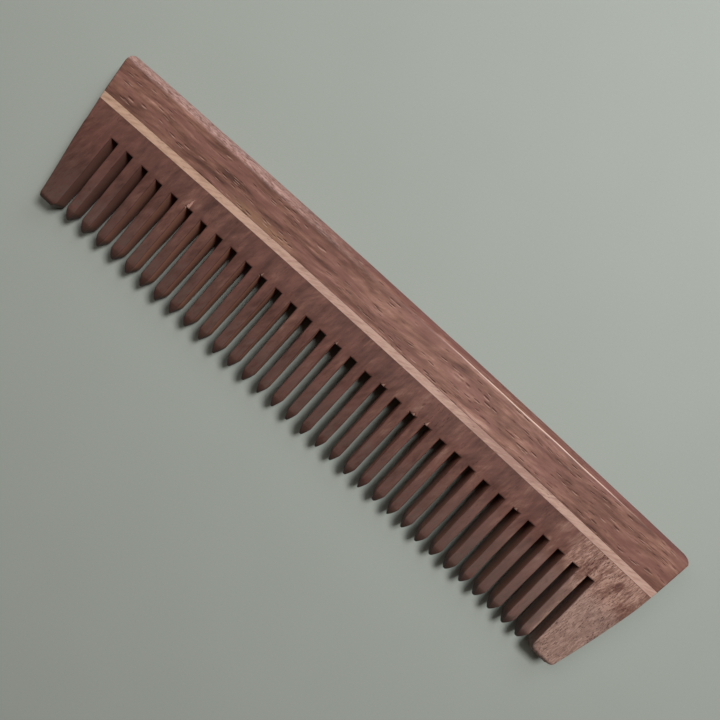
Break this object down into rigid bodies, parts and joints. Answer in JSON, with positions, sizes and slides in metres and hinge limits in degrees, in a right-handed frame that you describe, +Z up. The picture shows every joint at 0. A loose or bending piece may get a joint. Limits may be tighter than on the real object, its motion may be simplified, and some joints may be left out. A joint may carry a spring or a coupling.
{
  "type": "beard comb",
  "caption": "Flat laminated wooden comb: dark spine, thin pale inlay strip and a sawn tooth plate with tapered pointed teeth between two wide guard teeth.",
  "frame": {"origin": "under the middle of the comb, on the surface that it lies on", "axes": "+X along the comb, +Y towards its back so that the teeth point to -Y, +Z up through its thickness"},
  "size_m": [0.19, 0.0454, 0.008],
  "materials": {
    "spine_wood": "lightly oiled, satin, open grain along the comb",
    "strip_wood": "lightly oiled, satin, fine grain",
    "plate_wood": "lightly oiled, satin, open grain along the teeth",
    "glue": "thin cured wood glue, flush sanded"
  },
  "bodies": {
    "root": {"spine": "spine_wood", "spine_glue_line": "glue", "accent_strip": "strip_wood", "plate_glue_line": "glue", "tooth_plate": "plate_wood"}
  },
  "joints": []
}
